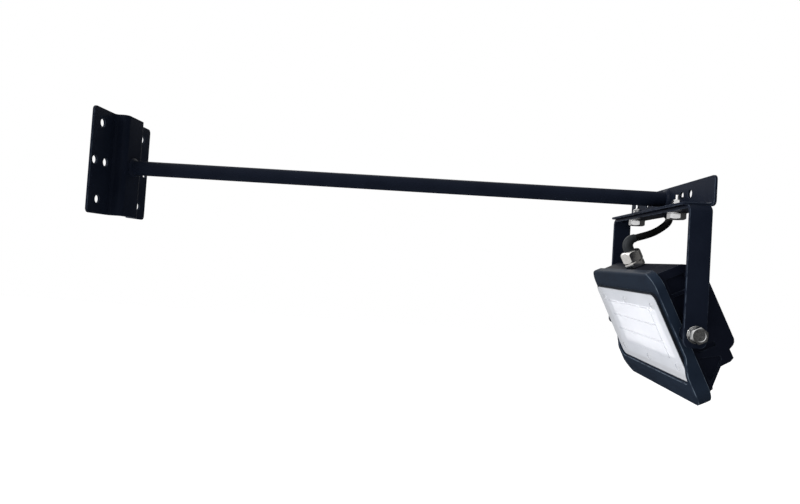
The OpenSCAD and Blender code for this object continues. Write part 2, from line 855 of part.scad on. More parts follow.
module driver_cover() {
    mid = (box_low + box_top) / 2;
    color(coat) lamp() difference() {
        union() {
            upright(cover_seat, house_back - 2) translate([0, mid])
                round_rect(box_w, box_top - box_low, 5);
            upright(house_back - 2, house_back) translate([0, mid])
                round_rect(box_w - 4, box_top - box_low - 4, 4);
        }
        cover_screw_places() {
            rod_x(screw_d + 0.4, cover_seat - 1, house_back + 1);
            rod_x(screw_head_d + 0.6, house_back - screw_head, house_back + 1);
        }
    }
}

module cover_gasket() {
    mid = (box_low + box_top) / 2;
    color(rubber) lamp() difference() {
        upright(cover_seat - cover_gasket_t, cover_seat) translate([0, mid])
            round_rect(box_w - 1, box_top - box_low - 1, 5);
        upright(cover_seat - 2, cover_seat + 1) translate([0, mid])
            square([box_w - 2 * house_wall - 14, box_top - box_low - 2 * house_wall], center = true);
        cover_screw_places() rod_x(screw_d + 0.4, cover_seat - 2, cover_seat + 1);
    }
}

module cover_screws() {
    color(zinc) lamp() cover_screw_places()
        translate([house_back - screw_head, 0, 0]) small_screw(13);
}

module driver_screw_places() {
    for (s = [-1, 1]) {
        translate([0, s * (driver_len / 2 + 3), driver_mid]) children();
    }
}

module driver_case() {
    back = front_plate - house_front;
    color([0.8, 0.8, 0.78]) lamp() difference() {
        union() {
            translate([back, -driver_len / 2, driver_mid - driver_h / 2])
                cube([driver_t, driver_len, driver_h]);
            translate([back, -driver_len / 2 - 6.5, driver_mid - 7])
                cube([2, driver_len + 13, 14]);
        }
        driver_screw_places() rod_x(small_screw_d + 2 * small_screw_play, back - 1, back + 3);
    }
}

module driver_screws() {
    back = front_plate - house_front;
    color(zinc) lamp() driver_screw_places() {
        rod_x(small_head_d, back + 2, back + 4);
        rod_x(small_screw_d, -0.5, back + 2);
    }
}

module led_wires() {
    color("red") lamp() translate([0, 1.2, 20]) rod_x(1.8, -board_seat, front_plate - house_front);
    color("black") lamp() translate([0, -1.2, 20]) rod_x(1.8, -board_seat, front_plate - house_front);
}

// Cable gland on the housing's top
module on_gland() {
    lamp() translate([gland_back, 0, 0]) children();
}

module gland_body() {
    color(nickel) on_gland() difference() {
        union() {
            translate([0, 0, house_top - 10]) cylinder(d = gland_thread, h = 10 + gland_ring_t);
            translate([0, 0, gland_mid]) hex_block(gland_af - 1, gland_hex);
            translate([0, 0, gland_mid + gland_hex]) cylinder(d = gland_neck_d, h = gland_gap + 8);
        }
        translate([0, 0, house_top - 11]) cylinder(d = gland_bore, h = 40);
        translate([0, 0, gland_nut_low]) cylinder(d = 13, h = 20);
    }
}

module gland_ring() {
    color(rubber) on_gland() ring_z(gland_af - 1, gland_thread + thread_gap, house_top, gland_mid);
}

module gland_nut() {
    color(nickel) on_gland() difference() {
        intersection() {
            translate([0, 0, gland_nut_low]) cylinder(d = gland_af / cos(30), h = gland_nut_h, $fn = 6);
            translate([0, 0, gland_nut_low]) rotate_extrude()
                polygon(concat([[0, 0], [gland_af / 2, 0], [gland_af / 2 + 1.6, 1.2]],
                    arc(gland_af / 2 - 3.2, gland_nut_h - 4.8, 4.8, 0, 90, 6),
                    [[0, gland_nut_h]]));
        }
        translate([0, 0, gland_nut_low - 1]) cylinder(d = gland_neck_d + thread_gap, h = 9.2);
        translate([0, 0, gland_nut_low]) cylinder(d = boot_d + 0.4, h = 20);
    }
}

module gland_bush() {
    color(rubber) on_gland() ring_z(12.8, gland_bore, gland_nut_low + 0.2, gland_top - 4);
}

// Rubber elbow that turns the cable out of the gland
module cable_boot() {
    low = gland_top - 4;
    count = 10;
    ends = [[gland_back, 0, low], [gland_back, 0, gland_top], [gland_back, 0, boot_mid]];
    bend = [for (i = [1:count]) let (a = boot_turn * i / count)
        [gland_back + boot_bend - boot_bend * cos(a), 0, boot_mid + boot_bend * sin(a)]];
    away = [sin(boot_turn), 0, cos(boot_turn)];
    route = concat(ends, bend, [bend[count - 1] + boot_tip * away]);
    shrink = (boot_d - boot_tip_d) / (2 * count * count);
    radii = [for (i = [0:count + 3]) boot_d / 2 - shrink * pow(max(0, min(count, i - 3)), 2)];
    color([0.22, 0.23, 0.25]) lamp() swept_tube(route, radii, 16, [0, 1, 0], [0, 0, 1], away);
}

module lead_tail() {
    color(rubber) on_gland() translate([0, 0, driver_mid + driver_h / 2])
        cylinder(d = cable_d, h = gland_top - 4 - driver_mid - driver_h / 2);
}

// Tilt screws and their washers
module both_sides() {
    for (s = [0, 180]) {
        lamp() rotate([0, 0, s]) children();
    }
}

module pivot_bolts() {
    head_y = yoke_w / 2 + washer_t + spring_t;
    color(zinc) both_sides() {
        translate([0, head_y + bolt_head, 0]) rotate([90, 0, 0]) hex_block(bolt_af, bolt_head);
        rod_y(bolt_d, boss_in + 1.6, head_y);
    }
}

module pivot_washers() {
    color(zinc) both_sides() translate([0, yoke_w / 2 + side_gap / 2, 0]) difference() {
        rod_y(washer_d, 0, washer_t - side_gap / 2);
        rod_y(bolt_d + thread_gap, -1, washer_t + 1);
    }
}

module pivot_spring_washers() {
    color(zinc) both_sides() translate([0, yoke_w / 2 + washer_t, 0]) difference() {
        rod_y(spring_d, 0, spring_t);
        rod_y(bolt_d + thread_gap, -1, spring_t + 1);
        translate([-0.6, -1, 0]) cube([1.2, spring_t + 2, spring_d]);
    }
}

module pivot_pads() {
    color(rubber) both_sides() translate([0, boss_face, 0]) difference() {
        rod_y(boss_d - 4, 0, pad_t);
        rod_y(bolt_d + thread_gap, -1, pad_t + 1);
    }
}

wall_plate();
arm_tube();
arm_welds();
end_angle();
yoke();
yoke_bolts();
yoke_washers();
cable_grommet();
arm_lead();
lead_cores();
lead_loop();
front_frame();
lens();
lens_seal();
reflector();
led_board();
led_chips();
led_optics();
board_screws();
lens_screws();
housing();
housing_gasket();
frame_screws();
driver_cover();
cover_gasket();
cover_screws();
driver_case();
driver_screws();
led_wires();
gland_body();
gland_ring();
gland_nut();
gland_bush();
cable_boot();
lead_tail();
pivot_bolts();
pivot_washers();
pivot_spring_washers();
pivot_pads();
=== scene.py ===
import json
import math

import bpy
from mathutils import Matrix, Vector


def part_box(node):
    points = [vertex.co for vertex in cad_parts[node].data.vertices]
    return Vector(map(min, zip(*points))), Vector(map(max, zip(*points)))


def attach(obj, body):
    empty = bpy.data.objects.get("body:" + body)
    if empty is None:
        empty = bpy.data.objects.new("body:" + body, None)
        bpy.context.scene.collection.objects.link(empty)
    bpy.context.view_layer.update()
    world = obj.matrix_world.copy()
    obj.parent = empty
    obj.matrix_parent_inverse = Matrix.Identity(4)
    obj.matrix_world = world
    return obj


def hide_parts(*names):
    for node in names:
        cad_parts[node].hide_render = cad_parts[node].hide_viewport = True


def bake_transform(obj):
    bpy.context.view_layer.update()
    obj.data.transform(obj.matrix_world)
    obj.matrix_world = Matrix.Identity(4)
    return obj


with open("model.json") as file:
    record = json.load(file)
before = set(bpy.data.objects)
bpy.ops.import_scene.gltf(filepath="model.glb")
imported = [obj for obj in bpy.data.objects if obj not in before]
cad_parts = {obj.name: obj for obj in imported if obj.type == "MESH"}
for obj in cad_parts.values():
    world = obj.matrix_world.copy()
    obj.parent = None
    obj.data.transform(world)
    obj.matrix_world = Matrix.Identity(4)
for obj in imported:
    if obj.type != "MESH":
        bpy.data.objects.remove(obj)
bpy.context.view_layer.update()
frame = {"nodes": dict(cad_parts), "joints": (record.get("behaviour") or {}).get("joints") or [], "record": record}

MM = 0.001
PIVOT = Vector(frame["joints"][0]["pos_m"])
TILT = math.radians(26)
LAMP = Matrix.Translation(PIVOT) @ Matrix.Rotation(-TILT, 4, "Y")
ALONG_X = Matrix.Rotation(math.pi / 2, 4, "Y")
AGAINST_X = Matrix.Rotation(-math.pi / 2, 4, "Y")
NEAR = Matrix.Rotation(math.pi / 2, 4, "X")
FAR = Matrix.Rotation(-math.pi / 2, 4, "X")

# Camera, fitted to the photograph
CAMERA_PLACE = (0.43532, -0.76692, -0.10073)
CAMERA_TURN = (91.5326, -3.7380, 2.5155)
PHOTO_SIZE = (800, 504)
FOCAL_PIXELS = 563.53
PHOTO_CENTRE = (401.15, 242.70)

# Cable
CABLE_D = 9.5 * MM
LOOP_POINTS = [(719.5, 0, -51.8), (729, 0.5, -48.5), (739, 2, -44), (748.5, 4.5, -38),
    (757, 9, -31.5), (763, 17, -25), (765.5, 28, -19), (764.5, 40, -14), (765, 52, -10),
    (770, 64, -7), (780, 73.5, -4), (793, 77.5, -2), (806.5, 75, 0), (817, 66.5, 1),
    (823, 54, 2), (824, 40, 2), (820, 27, 2), (812.5, 15.5, 1), (801.5, 6.5, 0.5),
    (788, 1.5, 0), (773, 0, 0)]
LOOP_END = (756.5, 0, 0)

# Cable boot, in the lamp's own frame
GLAND_BACK = 12.5 * MM
GLAND_TOP = 97.5 * MM
BOOT_D = 13.6 * MM
BOOT_TIP_D = 11.2 * MM
BOOT_BEND = 10 * MM
BOOT_TURN = math.radians(98)
BOOT_RISE = 3.1 * MM
BOOT_TIP = 2 * MM

# Arm tube, its weld beads and the sheet of the angle bracket
TUBE_WALL = 2 * MM
WELD_LEG = 3.9 * MM
SHEET = 3 * MM

# Tilt screws with their washers, and yoke screws
TILT_SCREW_D = 10 * MM
TILT_FLATS = 17 * MM
TILT_HEAD = 7 * MM
TILT_ROOT = 107.4 * MM
TILT_WASHER_D = 20 * MM
TILT_WASHER_BORE = 10.1 * MM
TILT_WASHER_T = 2 * MM
TILT_WASHER_GAP = 0.1 * MM
SPRING_T = 2.4 * MM
YOKE_BOLT_D = 12 * MM
YOKE_BOLT_PLAY = 0.6 * MM
YOKE_FLATS = 19 * MM
YOKE_HEAD = 6.8 * MM
YOKE_TIP_D = 4.6 * MM
YOKE_TIP = 6.5 * MM
YOKE_BOLT_Y = 65 * MM
PITCH = 1.5 * MM
THREAD_DEPTH = 0.55

# Small screws. Places are millimetres in the lamp's frame: X is where the head's seat lies,
# and each pair is Y and Z.
SMALL_HEAD_R = 3.75 * MM
SMALL_SOCKET_R = 1.6 * MM
FRAME_HEAD = 2.6 * MM
FRAME_SEAT = 2.6
FRAME_PLACES = [(side * y, z) for side in (-1, 1) for y in (34, 96) for z in (65, -60)]
COVER_HEAD = 2.55 * MM
COVER_SEAT = 43.4
COVER_PLACES = [(side * 55, z) for side in (-1, 1) for z in (-26, 15, 56)]
LENS_HEAD = 1.8 * MM
LENS_SEAT = -16.5
LENS_MID = -1
LENS_PLACES = [(y, LENS_MID + side * z) for side in (-1, 1)
    for y, z in ((-87, 38.5), (87, 38.5), (0, 40.5))]


def at(x, y, z):
    """A move to a place given in millimetres."""
    return Matrix.Translation(Vector((x, y, z)) * MM)


def only(piece):
    """Selects the piece alone and makes it the active one."""
    bpy.ops.object.select_all(action="DESELECT")
    piece.select_set(True)
    bpy.context.view_layer.objects.active = piece


def mend_faces(piece, weld, flat=None):
    """Welds points closer than weld and splits faces that bend inwards. Where flat is given,
    triangles that lie within that many degrees of each other are first joined up."""
    only(piece)
    bpy.ops.object.mode_set(mode="EDIT")
    bpy.ops.mesh.select_all(action="SELECT")
    bpy.ops.mesh.remove_doubles(threshold=weld)
    if flat:
        bpy.ops.mesh.dissolve_limited(angle_limit=math.radians(flat))
    bpy.ops.mesh.vert_connect_concave()
    bpy.ops.object.mode_set(mode="OBJECT")


def settle(piece, matrix=Matrix.Identity(4)):
    """Puts the piece in its place and leaves its object at the origin."""
    piece.matrix_world = matrix @ piece.matrix_world
    only(piece)
    bpy.ops.object.transform_apply(location=True, rotation=True, scale=True)
    return piece


def rounded(piece, width, steps=2, angle=30):
    """Rounds the piece's sharp edges, marks the new strips in a face attribute and shades the rest smooth. The
    strips are told apart by the second of two empty material slots. The finishes colour the marked strips: on the
    coats as rubbed paint together with a painted highlight along the edges, on the clear cover as painted shade."""
    only(piece)
    piece.data.materials.clear()
    piece.data.materials.append(None)
    piece.data.materials.append(None)
    edges = piece.modifiers.new("edges", "BEVEL")
    edges.material = 1
    edges.use_clamp_overlap = False
    edges.loop_slide = False
    edges.width = width
    edges.segments = steps
    edges.limit_method = "ANGLE"
    edges.angle_limit = math.radians(angle)
    bpy.ops.object.modifier_apply(modifier=edges.name)
    mend_faces(piece, 0.02 * MM)
    bevel_strips = piece.data.attributes.new("bevel_strips", "FLOAT", "FACE")
    for mark, face in zip(bevel_strips.data, piece.data.polygons):
        mark.value = face.material_index
    piece.data.materials.clear()
    bpy.ops.object.shade_smooth_by_angle(angle=math.radians(angle))
    flats = piece.modifiers.new("flats", "WEIGHTED_NORMAL")
    flats.weight = 60
    flats.keep_sharp = True
    bpy.ops.object.modifier_apply(modifier=flats.name)
    return piece


def copied(piece, name, places):
    """The piece repeated at each place, each copy with its own mesh, joined under one name."""
    parts = []
    for place in places:
        part = piece.copy()
        part.data = piece.data.copy()
        bpy.context.scene.collection.objects.link(part)
        parts.append(settle(part, place))
    bpy.data.objects.remove(piece)
    return joined(name, parts)


def joined(name, parts):
    """The parts as one piece under one name."""
    only(parts[0])
    for part in parts:
        part.select_set(True)
    bpy.ops.object.join()
    parts[0].name = name
    return parts[0]


def casting(node, name, width, steps=2):
    """A copy of a CAD node, its loose triangles joined up and its edges rounded."""
    source = frame["nodes"][node]
    piece = bpy.data.objects.new(name, source.data.copy())
    bpy.context.scene.collection.objects.link(piece)
    only(piece)
    bpy.ops.mesh.customdata_custom_splitnormals_clear()
    mend_faces(piece, 0.002 * MM, 0.5)
    return rounded(piece, width, steps)


def turned(name, profile, count=48, hollow=False):
    """A round shape about Z, extruded ring by ring through (radius, height) pairs."""
    bpy.ops.object.select_all(action="DESELECT")
    bpy.ops.mesh.primitive_circle_add(vertices=count, radius=profile[0][0],
        location=(0, 0, profile[0][1]), fill_type="NOTHING" if hollow else "NGON")
    piece = settle(bpy.context.active_object)
    piece.name = name
    bpy.ops.object.mode_set(mode="EDIT")
    bpy.ops.mesh.select_mode(type="EDGE" if hollow else "FACE")
    bpy.ops.mesh.select_all(action="SELECT")
    for (r0, z0), (r1, z1) in zip(profile, profile[1:]):
        bpy.ops.mesh.extrude_region_move(TRANSFORM_OT_translate={"value": (0, 0, z1 - z0)})
        bpy.ops.transform.resize(value=(r1 / r0, r1 / r0, 1), center_override=(0, 0, z1))
    bpy.ops.mesh.select_all(action="SELECT")
    bpy.ops.mesh.remove_doubles(threshold=0.0005 * MM)
    bpy.ops.mesh.normals_make_consistent(inside=False)
    bpy.ops.object.mode_set(mode="OBJECT")
    return piece


def hexagon_reach(x, y, flats):
    """How far a hexagon's side lies from its middle, in the direction of x and y."""
    corner = math.pi / 3
    return flats / 2 / math.cos((math.atan2(y, x) % corner) - corner / 2)


def hex_head(name, flats, height, dish=0.4 * MM):
    """A screw's head about Z, seat down, with chamfered corners and a dished top."""
    wide = flats / math.sqrt(3)
    land = flats * 0.47
    piece = turned(name, [(land, 0), (wide, 0.15 * MM), (wide, height), (land, height),
        (land * 0.8, height), (land * 0.72, height - dish)])
    for v in piece.data.vertices:
        reach = math.hypot(v.co.x, v.co.y)
        if reach > land * 1.05:
            across = hexagon_reach(v.co.x, v.co.y, flats)
            v.co.x *= across / reach
            v.co.y *= across / reach
            if v.co.z > height / 2:
                v.co.z = height - max(0, across - land) * math.tan(math.pi / 6)
    return rounded(piece, 0.12 * MM, 2, 25)


def threaded(name, radius, low, high, pitch=PITCH):
    """A screw's threaded shank about Z."""
    steps = round((high - low) / pitch * 6)
    piece = turned(name, [(radius, low + (high - low) * i / steps) for i in range(steps + 1)], 24)
    for v in piece.data.vertices:
        phase = (v.co.z / pitch - math.atan2(v.co.y, v.co.x) / math.tau) % 1
        keep = 1 - THREAD_DEPTH * pitch * abs(phase - 0.5) * 2 / radius
        v.co.x *= keep
        v.co.y *= keep
    bpy.ops.object.shade_smooth_by_angle(angle=math.radians(50))
    return piece


def socket_screw(name, radius, height, socket):
    """A small screw's round head about Z, with a hexagon socket."""
    rings = [(radius, 0), (radius, height * 0.7), (radius * 0.93, height * 0.93),
        (radius * 0.8, height), (socket, height), (socket * 0.98, height * 0.35),
        (socket * 0.4, height * 0.3)]
    piece = turned(name, rings, 36)
    for v in piece.data.vertices:
        reach = math.hypot(v.co.x, v.co.y)
        if 0.9 * socket < reach < 1.05 * socket:
            across = hexagon_reach(v.co.x, v.co.y, socket * 1.75)
            v.co.x *= across / reach
            v.co.y *= across / reach
    return rounded(piece, 0.08 * MM, 2, 30)


def washer(name, outer, inner, thickness):
    """A flat ring about Z, given by its diameters."""
    ring = [(inner / 2, 0), (outer / 2, 0), (outer / 2, thickness), (inner / 2, thickness),
        (inner / 2, 0)]
    return rounded(turned(name, ring, 64, hollow=True), 0.3 * MM, 3)


def smooth_path(points, steps=6):
    """More points along a smooth curve through the given ones."""
    points = [Vector(p) for p in points]
    padded = [2 * points[0] - points[1], *points, 2 * points[-1] - points[-2]]
    path = []
    for a, b, c, d in zip(padded, padded[1:], padded[2:], padded[3:]):
        for i in range(steps):
            t = i / steps
            path.append(0.5 * (2 * b + (c - a) * t + (2 * a - 5 * b + 4 * c - d) * t ** 2
                + (3 * b - a - 3 * c + d) * t ** 3))
    return [*path, points[-1]]


def tube(name, path, radii, sides=24):
    """A round tube along a path, as a closed mesh."""
    curve = bpy.data.curves.new(name, "CURVE")
    curve.dimensions = "3D"
    curve.bevel_depth = 1
    curve.bevel_resolution = sides // 4
    curve.use_fill_caps = True
    line = curve.splines.new("POLY")
    line.points.add(len(path) - 1)
    for point, place, radius in zip(line.points, path, radii):
        point.co = (*place, 1)
        point.radius = radius
    piece = bpy.data.objects.new(name, curve)
    bpy.context.scene.collection.objects.link(piece)
    only(piece)
    bpy.ops.object.convert(target="MESH")
    piece = bpy.context.active_object
    bpy.ops.object.mode_set(mode="EDIT")
    bpy.ops.mesh.select_all(action="SELECT")
    bpy.ops.mesh.remove_doubles(threshold=0.005 * MM)
    bpy.ops.object.mode_set(mode="OBJECT")
    bpy.ops.object.shade_smooth_by_angle(angle=math.radians(40))
    return piece


# Finishes
def noise(nodes, links, place, size, detail):
    """Noise whose patches are about size across."""
    node = nodes.new("ShaderNodeTexNoise")
    node.inputs["Scale"].default_value = 1 / size
    node.inputs["Detail"].default_value = detail
    links.new(place.outputs["Object"], node.inputs["Vector"])
    return node.outputs["Fac"]


def stretched(nodes, links, value, source, target):
    """The value's range source, mapped to the range target."""
    node = nodes.new("ShaderNodeMapRange")
    node.inputs["From Min"].default_value = source[0]
    node.inputs["From Max"].default_value = source[1]
    node.inputs["To Min"].default_value = target[0]
    node.inputs["To Max"].default_value = target[1]
    links.new(value, node.inputs["Value"])
    return node


def surface(name, dark, light, patch, rough, metal=0.0, bump=0.0, grain=0.6 * MM, edge_wear_and_painted_light=None,
        edge_noise_range=(0.35, 0.6), **sockets):
    """A finish whose colour drifts from dark to light over patches, with a fine grain in its relief. Where an edge
    colour is given, rounded edges take that colour wherever a noise is above the edge threshold: on the coats this
    is rubbed paint together with a painted highlight along the edges, on the clear cover a painted shade."""
    material = bpy.data.materials.new(name)
    material.use_nodes = True
    nodes = material.node_tree.nodes
    links = material.node_tree.links
    shader = nodes["Principled BSDF"]
    place = nodes.new("ShaderNodeTexCoord")

    patches = noise(nodes, links, place, patch, 5)
    colours = nodes.new("ShaderNodeValToRGB")
    colours.color_ramp.elements[0].position = 0.32
    colours.color_ramp.elements[0].color = (*dark, 1)
    colours.color_ramp.elements[1].position = 0.68
    colours.color_ramp.elements[1].color = (*light, 1)
    links.new(patches, colours.inputs["Fac"])
    colour = colours.outputs["Color"]
    # Edge colour on the marked strips: rubbed paint with a painted highlight on the coats, painted shade on the
    # clear cover.
    if edge_wear_and_painted_light:
        edges = nodes.new("ShaderNodeAttribute")
        edges.attribute_name = "bevel_strips"
        edge_patches = noise(nodes, links, place, 9 * MM, 4)
        mask = stretched(nodes, links, edge_patches, edge_noise_range, (0, 1))
        links.new(edges.outputs["Fac"], mask.inputs["To Max"])
        blend = nodes.new("ShaderNodeMix")
        blend.data_type = "RGBA"
        blend.inputs["B"].default_value = (*edge_wear_and_painted_light, 1)
        links.new(mask.outputs["Result"], blend.inputs["Factor"])
        links.new(colour, blend.inputs["A"])
        colour = blend.outputs["Result"]
    links.new(colour, shader.inputs["Base Color"])

    gloss = stretched(nodes, links, patches, (0.3, 0.7), rough)
    links.new(gloss.outputs["Result"], shader.inputs["Roughness"])
    if bump:
        relief = noise(nodes, links, place, grain, 3)
        height = nodes.new("ShaderNodeBump")
        height.inputs["Strength"].default_value = bump
        height.inputs["Distance"].default_value = 0.1 * MM
        links.new(relief, height.inputs["Height"])
        links.new(height.outputs["Normal"], shader.inputs["Normal"])
    shader.inputs["Metallic"].default_value = metal
    for socket, value in sockets.items():
        shader.inputs[socket.replace("_", " ")].default_value = value
    return material


FINISH = {
    # The coat's edge colour is partly rubbed paint and partly a painted highlight along its rounded edges.
    "dark_coat": surface("dark_coat", (0.0072, 0.01, 0.019), (0.0092, 0.0128, 0.0235), 30 * MM,
        (0.3, 0.4), bump=0.25, edge_wear_and_painted_light=(0.05, 0.064, 0.09), Specular_IOR_Level=0.03),
    # The frame's colour is partly its own dark coat and partly a painted sheen of the sky on its bands; its edge
    # colour is rubbed paint and a painted highlight.
    "cast_frame": surface("cast_frame", (0.0108, 0.0175, 0.031), (0.0142, 0.0228, 0.039), 24 * MM,
        (0.34, 0.44), bump=0.3, edge_wear_and_painted_light=(0.11, 0.14, 0.18), Specular_IOR_Level=0.04),
    # The coat's edge colour is partly rubbed paint and partly a painted highlight along its rounded edges.
    "cast_coat": surface("cast_coat", (0.0048, 0.0062, 0.0122), (0.0064, 0.0082, 0.0158), 24 * MM,
        (0.36, 0.48), bump=0.3, edge_wear_and_painted_light=(0.024, 0.03, 0.046), Specular_IOR_Level=0.03),
    "zinc": surface("zinc", (0.6, 0.6, 0.6), (0.76, 0.76, 0.76), 3 * MM, (0.16, 0.28), metal=1.0,
        bump=0.05),
    "nickel": surface("nickel", (0.8, 0.78, 0.75), (0.9, 0.88, 0.86), 4 * MM, (0.1, 0.2), metal=1.0,
        bump=0.04),
    "black_rubber": surface("black_rubber", (0.005, 0.005, 0.006), (0.009, 0.009, 0.01), 8 * MM,
        (0.6, 0.75), bump=0.2, Specular_IOR_Level=0.2),
    "boot_rubber": surface("boot_rubber", (0.012, 0.015, 0.018), (0.018, 0.021, 0.025), 8 * MM,
        (0.45, 0.58), bump=0.2, Specular_IOR_Level=0.25),
    "cable_jacket": surface("cable_jacket", (0.003, 0.003, 0.003), (0.006, 0.006, 0.006), 12 * MM,
        (0.4, 0.55), bump=0.12, Specular_IOR_Level=0.1),
    "seal_rubber": surface("seal_rubber", (0.008, 0.011, 0.017), (0.012, 0.015, 0.022), 10 * MM,
        (0.45, 0.55), bump=0.1, Specular_IOR_Level=0.15),
    # The white plastic's faint glow is painted light, standing in for light that falls through the cover into the
    # lamp.
    "white_plastic": surface("white_plastic", (0.6, 0.65, 0.74), (0.66, 0.71, 0.8), 20 * MM,
        (0.35, 0.45), Emission_Color=(0.74, 0.8, 0.92, 1), Emission_Strength=0.1),
    "white_board": surface("white_board", (0.82, 0.84, 0.86), (0.88, 0.9, 0.92), 15 * MM,
        (0.3, 0.4)),
    "phosphor": surface("phosphor", (0.85, 0.7, 0.28), (0.9, 0.76, 0.34), 2 * MM, (0.4, 0.5)),
    # The optics' glow is painted light that brightens the lamp's inside, standing in for light that falls through
    # the cover; the LEDs themselves are not lit.
    "optic_plastic": surface("optic_plastic", (0.9, 0.92, 0.96), (0.96, 0.97, 1.0), 12 * MM,
        (0.2, 0.3), Emission_Color=(1, 0.965, 0.945, 1), Emission_Strength=1.75),
    "core_insulation": surface("core_insulation", (0.22, 0.1, 0.04), (0.28, 0.13, 0.06), 4 * MM,
        (0.3, 0.4)),
    "driver_can": surface("driver_can", (0.5, 0.5, 0.48), (0.6, 0.6, 0.58), 10 * MM, (0.3, 0.45),
        metal=1.0),
    # The cover's grey edge colour is painted shade along its rounded edges and grooves, and its faint glow is
    # painted light.
    "clear_cover": surface("clear_cover", (0.67, 0.682, 0.717), (0.72, 0.732, 0.765), 40 * MM,
        (0.12, 0.2), edge_wear_and_painted_light=(0.34, 0.345, 0.36), edge_noise_range=(0, 0.1), Alpha=0.75, Specular_IOR_Level=0.3,
        Coat_Weight=0.2, Coat_Roughness=0.1,
        Emission_Color=(0.82, 0.88, 1.0, 1), Emission_Strength=0.12),
}
PALE_ZINC = surface("pale_zinc", (0.62, 0.64, 0.68), (0.72, 0.74, 0.77), 3 * MM, (0.25, 0.4),
    bump=0.05)
SLOTS = {row["node"]: row["material_slot"] for row in frame["record"]["subparts"]}
BODIES = {node: body for body, nodes in frame["record"]["behaviour"]["bodies"].items()
    for node in nodes}


def dress(piece, node):
    """The piece stands for a CAD node: it takes the node's finish and moves with its body."""
    piece.data.materials.clear()
    piece.data.materials.append(FINISH[SLOTS[node]])
    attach(piece, BODIES[node])
    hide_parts(node)
    return piece


# Camera and cable
def photo_camera():
    """The photograph's view, with the shift that its cropping left."""
    data = bpy.data.cameras.new("photo_camera")
    data.sensor_fit = "HORIZONTAL"
    data.sensor_width = 36
    data.lens = FOCAL_PIXELS * 36 / PHOTO_SIZE[0]
    data.shift_x = (PHOTO_SIZE[0] / 2 - PHOTO_CENTRE[0]) / PHOTO_SIZE[0]
    data.shift_y = (PHOTO_CENTRE[1] - PHOTO_SIZE[1] / 2) / PHOTO_SIZE[0]
    data.clip_start = 0.01
    camera = bpy.data.objects.new("photo_camera", data)
    camera.location = CAMERA_PLACE
    camera.rotation_euler = [math.radians(angle) for angle in CAMERA_TURN]
    bpy.context.scene.collection.objects.link(camera)
    bpy.context.scene.camera = camera


def boot_route():
    """The boot's middle line in the lamp's frame, and how thick it is along it."""
    middle = GLAND_TOP + BOOT_RISE
    count = 16
    route = [Vector((GLAND_BACK, 0, GLAND_TOP - 4 * MM)), Vector((GLAND_BACK, 0, GLAND_TOP))]
    for i in range(count + 1):
        a = BOOT_TURN * i / count
        route.append(Vector((GLAND_BACK + BOOT_BEND * (1 - math.cos(a)), 0,
            middle + BOOT_BEND * math.sin(a))))
    route.append(route[-1] + BOOT_TIP * Vector((math.sin(BOOT_TURN), 0, math.cos(BOOT_TURN))))
    thin = (BOOT_D - BOOT_TIP_D) / 2
    radii = [BOOT_D / 2 - thin * (max(0, min(count, i - 2)) / count) ** 2
        for i in range(len(route))]
    return route, radii


def supply_cable():
    """The cable's free loop: a round tube on a smooth curve from the boot's mouth through the loop's points to its
    end."""
    route, _ = boot_route()
    mouth = LAMP @ route[-1]
    points = [mouth, *[Vector(p) * MM for p in LOOP_POINTS], Vector(LOOP_END) * MM]
    path = smooth_path(points)
    piece = tube("cable_loop", path, [CABLE_D / 2] * len(path))
    piece.data.materials.append(FINISH["cable_jacket"])
    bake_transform(piece)
    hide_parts("lead_loop")


def cable_boot():
    route, radii = boot_route()
    dress(settle(tube("cable_boot_moulded", route, radii, 40), LAMP), "cable_boot")


photo_camera()
supply_cable()
cable_boot()


# Bracket
def sheet_metal():
    dress(casting("wall_plate", "wall_plate_pressed", 0.5 * MM), "wall_plate")
    dress(casting("end_angle", "end_angle_bent", 0.5 * MM), "end_angle")
    dress(casting("yoke", "yoke_bent", 0.6 * MM, 3), "yoke")


def arm_tube():
    low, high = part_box("arm_tube")
    outer = high.z
    inner = outer - TUBE_WALL
    ring = [(inner, low.x), (outer, low.x), (outer, high.x), (inner, high.x), (inner, low.x)]
    piece = turned("arm_tube_drawn", ring, 96, hollow=True)
    dress(rounded(settle(piece, ALONG_X), 0.3 * MM), "arm_tube")


def weld_beads():
    """Two beads with the ripples that a weld leaves."""
    low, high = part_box("arm_tube")
    tube_r = high.z
    leg = WELD_LEG
    section = [(tube_r - 0.3 * MM, -0.2 * MM), (tube_r + leg, -0.2 * MM)]
    for i in range(7):
        a = math.pi / 2 * i / 6
        section.append((tube_r + leg * math.cos(a) ** 1.4, leg * math.sin(a) ** 1.4 + 0.02 * MM))
    section.append((tube_r - 0.3 * MM, leg))
    section.append(section[0])
    bead = turned("bead", section, 180, hollow=True)
    for v in bead.data.vertices:
        angle = math.atan2(v.co.y, v.co.x)
        share = max(0, v.co.z) / leg
        ripple = 0.16 * MM * math.sin(38 * angle + 2.2 * share)
        ripple += 0.12 * MM * math.sin(5 * angle + 1)
        reach = math.hypot(v.co.x, v.co.y)
        swell = 1 + ripple * (1 - abs(2 * share - 0.9)) / reach
        v.co.x *= swell
        v.co.y *= swell
    bpy.ops.object.shade_smooth()
    places = [Matrix.Translation((low.x, 0, 0)) @ ALONG_X,
        Matrix.Translation((high.x, 0, 0)) @ AGAINST_X]
    dress(copied(bead, "weld_beads", places), "arm_welds")


